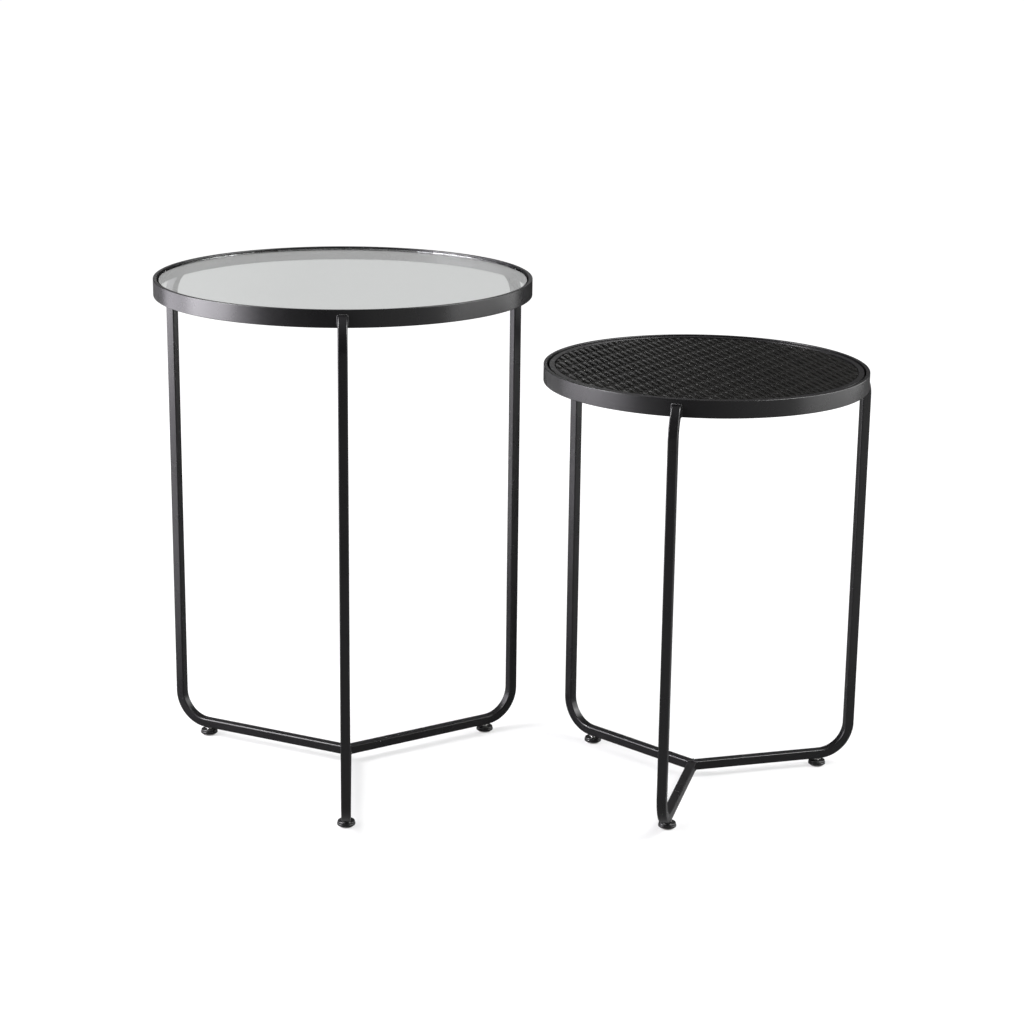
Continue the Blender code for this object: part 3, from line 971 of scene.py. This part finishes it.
# Studio: pale floor, a broad softbox with a bright core on each side and a small one above, and a sky that
# is white to look at but dim to everything glossy, with a card for the glass and a soft band for the weave

studio = {
    "floorSize": 240.0, "floorSeen": 0.30, "floorGlow": 0.64, "floorGlowFar": 1.0,
    "floorFar": 0.05, "floorNear": 0.10, "floorLeft": 0.0, "floorRight": 0.55, "floorPool": 0.80,
    "farToNear": (-2.6, -1.4), "poolToLeft": (-0.5, -1.2), "leftToRight": (-1.0, 2.0),
    "backToFront": (0.5, -0.5), "nearToAway": (0.7, 1.7), "floorRoughness": 0.9, "floorSpecular": 0.1,
    "throughGlass": 0.67,
    "skyFront": 0.10, "skyBack": 0.020, "skyTop": 0.08, "frontToBack": (-0.5, 0.6), "sideToTop": (0.35, 0.9),
    "card": 0.65, "cardLeft": -0.22, "cardRight": 0.06, "cardBottom": 0.12, "cardTop": 0.22,
    "band": 0.15, "bandBottom": 0.17, "bandFull": 0.26, "bandTop": 0.45,
}
softboxes = {
    "left_softbox": {
        "place": (-1.4, -0.15, 0.80), "aim": (0, -0.15, 0.75), "wide": 1.9, "tall": 1.4,
        "glow": 3.3, "tint": (1.0, 0.965, 1.04),
    },
    "right_softbox": {
        "place": (1.75, 0.35, 0.85), "aim": (0, 0.35, 0.8), "wide": 2.4, "tall": 1.5,
        "glow": 2.3, "tint": (1.0, 1.0, 1.0),
    },
    "left_core": {
        "place": (-1.36, -0.30, 0.82), "aim": (0, -0.30, 0.77), "wide": 0.75, "tall": 1.1,
        "glow": 8.0, "tint": (1.0, 0.975, 1.03),
    },
    "right_core": {
        "place": (1.70, 0.05, 1.15), "aim": (0, 0.05, 1.0), "wide": 0.7, "tall": 0.9,
        "glow": 5.0, "tint": (1.0, 1.0, 1.0),
    },
    "upper_left_softbox": {
        "place": (-1.35, 0.1, 1.9), "aim": (0, 0, 0.3), "wide": 0.6, "tall": 0.6,
        "glow": 30.0, "tint": (1.0, 1.0, 1.0),
    },
    "upper_right_softbox": {
        "place": (1.25, -0.2, 1.9), "aim": (0, -0.1, 0.3), "wide": 1.0, "tall": 0.8,
        "glow": 15.0, "tint": (1.0, 1.0, 1.0),
    },
}


def addFloor():
    bm = bmesh.new()
    bmesh.ops.create_grid(bm, x_segments=1, y_segments=1, size=studio["floorSize"] / 2)
    mesh = bpy.data.meshes.new("studio_floor")
    bm.to_mesh(mesh)
    bm.free()
    floor = linked("studio_floor", mesh)
    floor.location.z = -hair
    material, tree, shader = openFinish("paleFloor")
    mesh.materials.append(material)
    # white where it is looked at, bright through the glass, and a dim card to everything glossy
    x, y, _ = splitUp(tree, objectPlace(tree))
    card = ranged(tree, y, *studio["farToNear"], studio["floorFar"], studio["floorNear"], "SMOOTHSTEP")
    pool = ranged(tree, x, *studio["poolToLeft"], 0.0, studio["floorPool"])
    ray = add(tree, "ShaderNodeLightPath").outputs
    level = mixed(tree, ray["Is Camera Ray"], calc(tree, "ADD", card, pool), studio["floorSeen"])
    across = ranged(tree, x, *studio["leftToRight"], studio["floorLeft"], studio["floorRight"])
    ahead = ranged(tree, y, *studio["backToFront"])
    seen = calc(tree, "ADD", ray["Is Camera Ray"], ray["Is Transmission Ray"])
    sides = calc(tree, "MULTIPLY", calc(tree, "MULTIPLY", across, ahead), calc(tree, "SUBTRACT", 1.0, seen))
    through = calc(tree, "MULTIPLY_ADD", ray["Is Transmission Ray"], studio["throughGlass"], sides)
    squares = calc(tree, "MULTIPLY_ADD", x, x, calc(tree, "MULTIPLY", y, y))
    away = calc(tree, "SQRT", squares)
    glows = studio["floorGlow"], studio["floorGlowFar"]
    white = ranged(tree, away, *studio["nearToAway"], *glows, "SMOOTHSTEP")
    glow = calc(tree, "MULTIPLY_ADD", ray["Is Camera Ray"], white, through)
    tree.links.new(level, shader.inputs["Base Color"])
    tree.links.new(glow, shader.inputs["Emission Color"])
    shader.inputs["Emission Strength"].default_value = 1.0
    shader.inputs["Roughness"].default_value = studio["floorRoughness"]
    shader.inputs["Specular IOR Level"].default_value = studio["floorSpecular"]


def within(tree, value, low, high):
    above = calc(tree, "GREATER_THAN", value, low)
    return calc(tree, "MULTIPLY", above, calc(tree, "LESS_THAN", value, high))


def addSky():
    world = bpy.data.worlds.new("studio")
    bpy.context.scene.world = world
    world.use_nodes = True
    tree = world.node_tree
    x, y, z = splitUp(tree, add(tree, "ShaderNodeTexCoord").outputs["Generated"])
    level = ranged(tree, y, *studio["frontToBack"], studio["skyFront"], studio["skyBack"], "SMOOTHSTEP")
    room = mixed(tree, ranged(tree, z, *studio["sideToTop"]), level, studio["skyTop"])
    behind = calc(tree, "GREATER_THAN", y, 0.0)
    wide = within(tree, x, studio["cardLeft"], studio["cardRight"])
    low = within(tree, z, studio["cardBottom"], studio["cardTop"])
    onCard = calc(tree, "MULTIPLY", calc(tree, "MULTIPLY", wide, low), behind)
    carded = mixed(tree, onCard, room, studio["card"])
    # the band is to the right of the card and fades out above and below
    rise = ranged(tree, z, studio["bandBottom"], studio["bandFull"], 0.0, 1.0, "SMOOTHSTEP")
    fall = ranged(tree, z, studio["bandTop"], studio["bandFull"], 0.0, 1.0, "SMOOTHSTEP")
    inBand = calc(tree, "MULTIPLY", calc(tree, "MULTIPLY", rise, fall), behind)
    toRight = calc(tree, "GREATER_THAN", x, studio["cardRight"])
    banded = calc(tree, "MULTIPLY", calc(tree, "MULTIPLY", inBand, toRight), studio["band"])
    # white where it is looked at, and a little less so through the glass
    ray = add(tree, "ShaderNodeLightPath").outputs
    seen = calc(tree, "ADD", ray["Is Camera Ray"], ray["Is Transmission Ray"])
    through = calc(tree, "MULTIPLY", ray["Is Transmission Ray"], studio["throughGlass"])
    white = calc(tree, "ADD", through, ray["Is Camera Ray"])
    shown = mixed(tree, seen, calc(tree, "ADD", carded, banded), white)
    tree.links.new(shown, tree.nodes["Background"].inputs["Color"])


def addSoftboxes():
    for name, box in softboxes.items():
        light = bpy.data.lights.new(name, "AREA")
        light.shape = "RECTANGLE"
        light.size, light.size_y = box["wide"], box["tall"]
        light.energy = box["glow"] * math.pi * box["wide"] * box["tall"]
        light.color = box["tint"]
        lamp = linked(name, light)
        lamp.location = box["place"]
        lamp.rotation_euler = (Vector(box["aim"]) - lamp.location).to_track_quat("-Z", "Y").to_euler()
        lamp.visible_camera = False


viewpoint = {
    "place": (-0.0009, -2.4413, 0.9665), "lookDown": 15.374, "roll": 0.723, "lens": 82.26, "sensor": 36.0,
}


def addCamera():
    camera = bpy.data.cameras.new("camera")
    camera.lens = viewpoint["lens"]
    camera.sensor_width = viewpoint["sensor"]
    looker = linked("camera", camera)
    tilt = Matrix.Rotation(math.radians(90 - viewpoint["lookDown"]), 4, "X")
    roll = Matrix.Rotation(math.radians(viewpoint["roll"]), 4, "Z")
    looker.matrix_world = Matrix.Translation(viewpoint["place"]) @ tilt @ roll
    bpy.context.scene.camera = looker
    bpy.context.scene.view_settings.view_transform = "Standard"


addCamera()
addFloor()
addSky()
addSoftboxes()
print("studio set")
addRims()
addLedges()
print("rims and ledges made")
addLegs()
addWelds()
print("legs bent, coped and welded")
addFeet()
print("feet made")
addGlass()
addTrayFrame(tables["small"]["centre"])
addWeave(tables["small"]["centre"])
print("tops made")
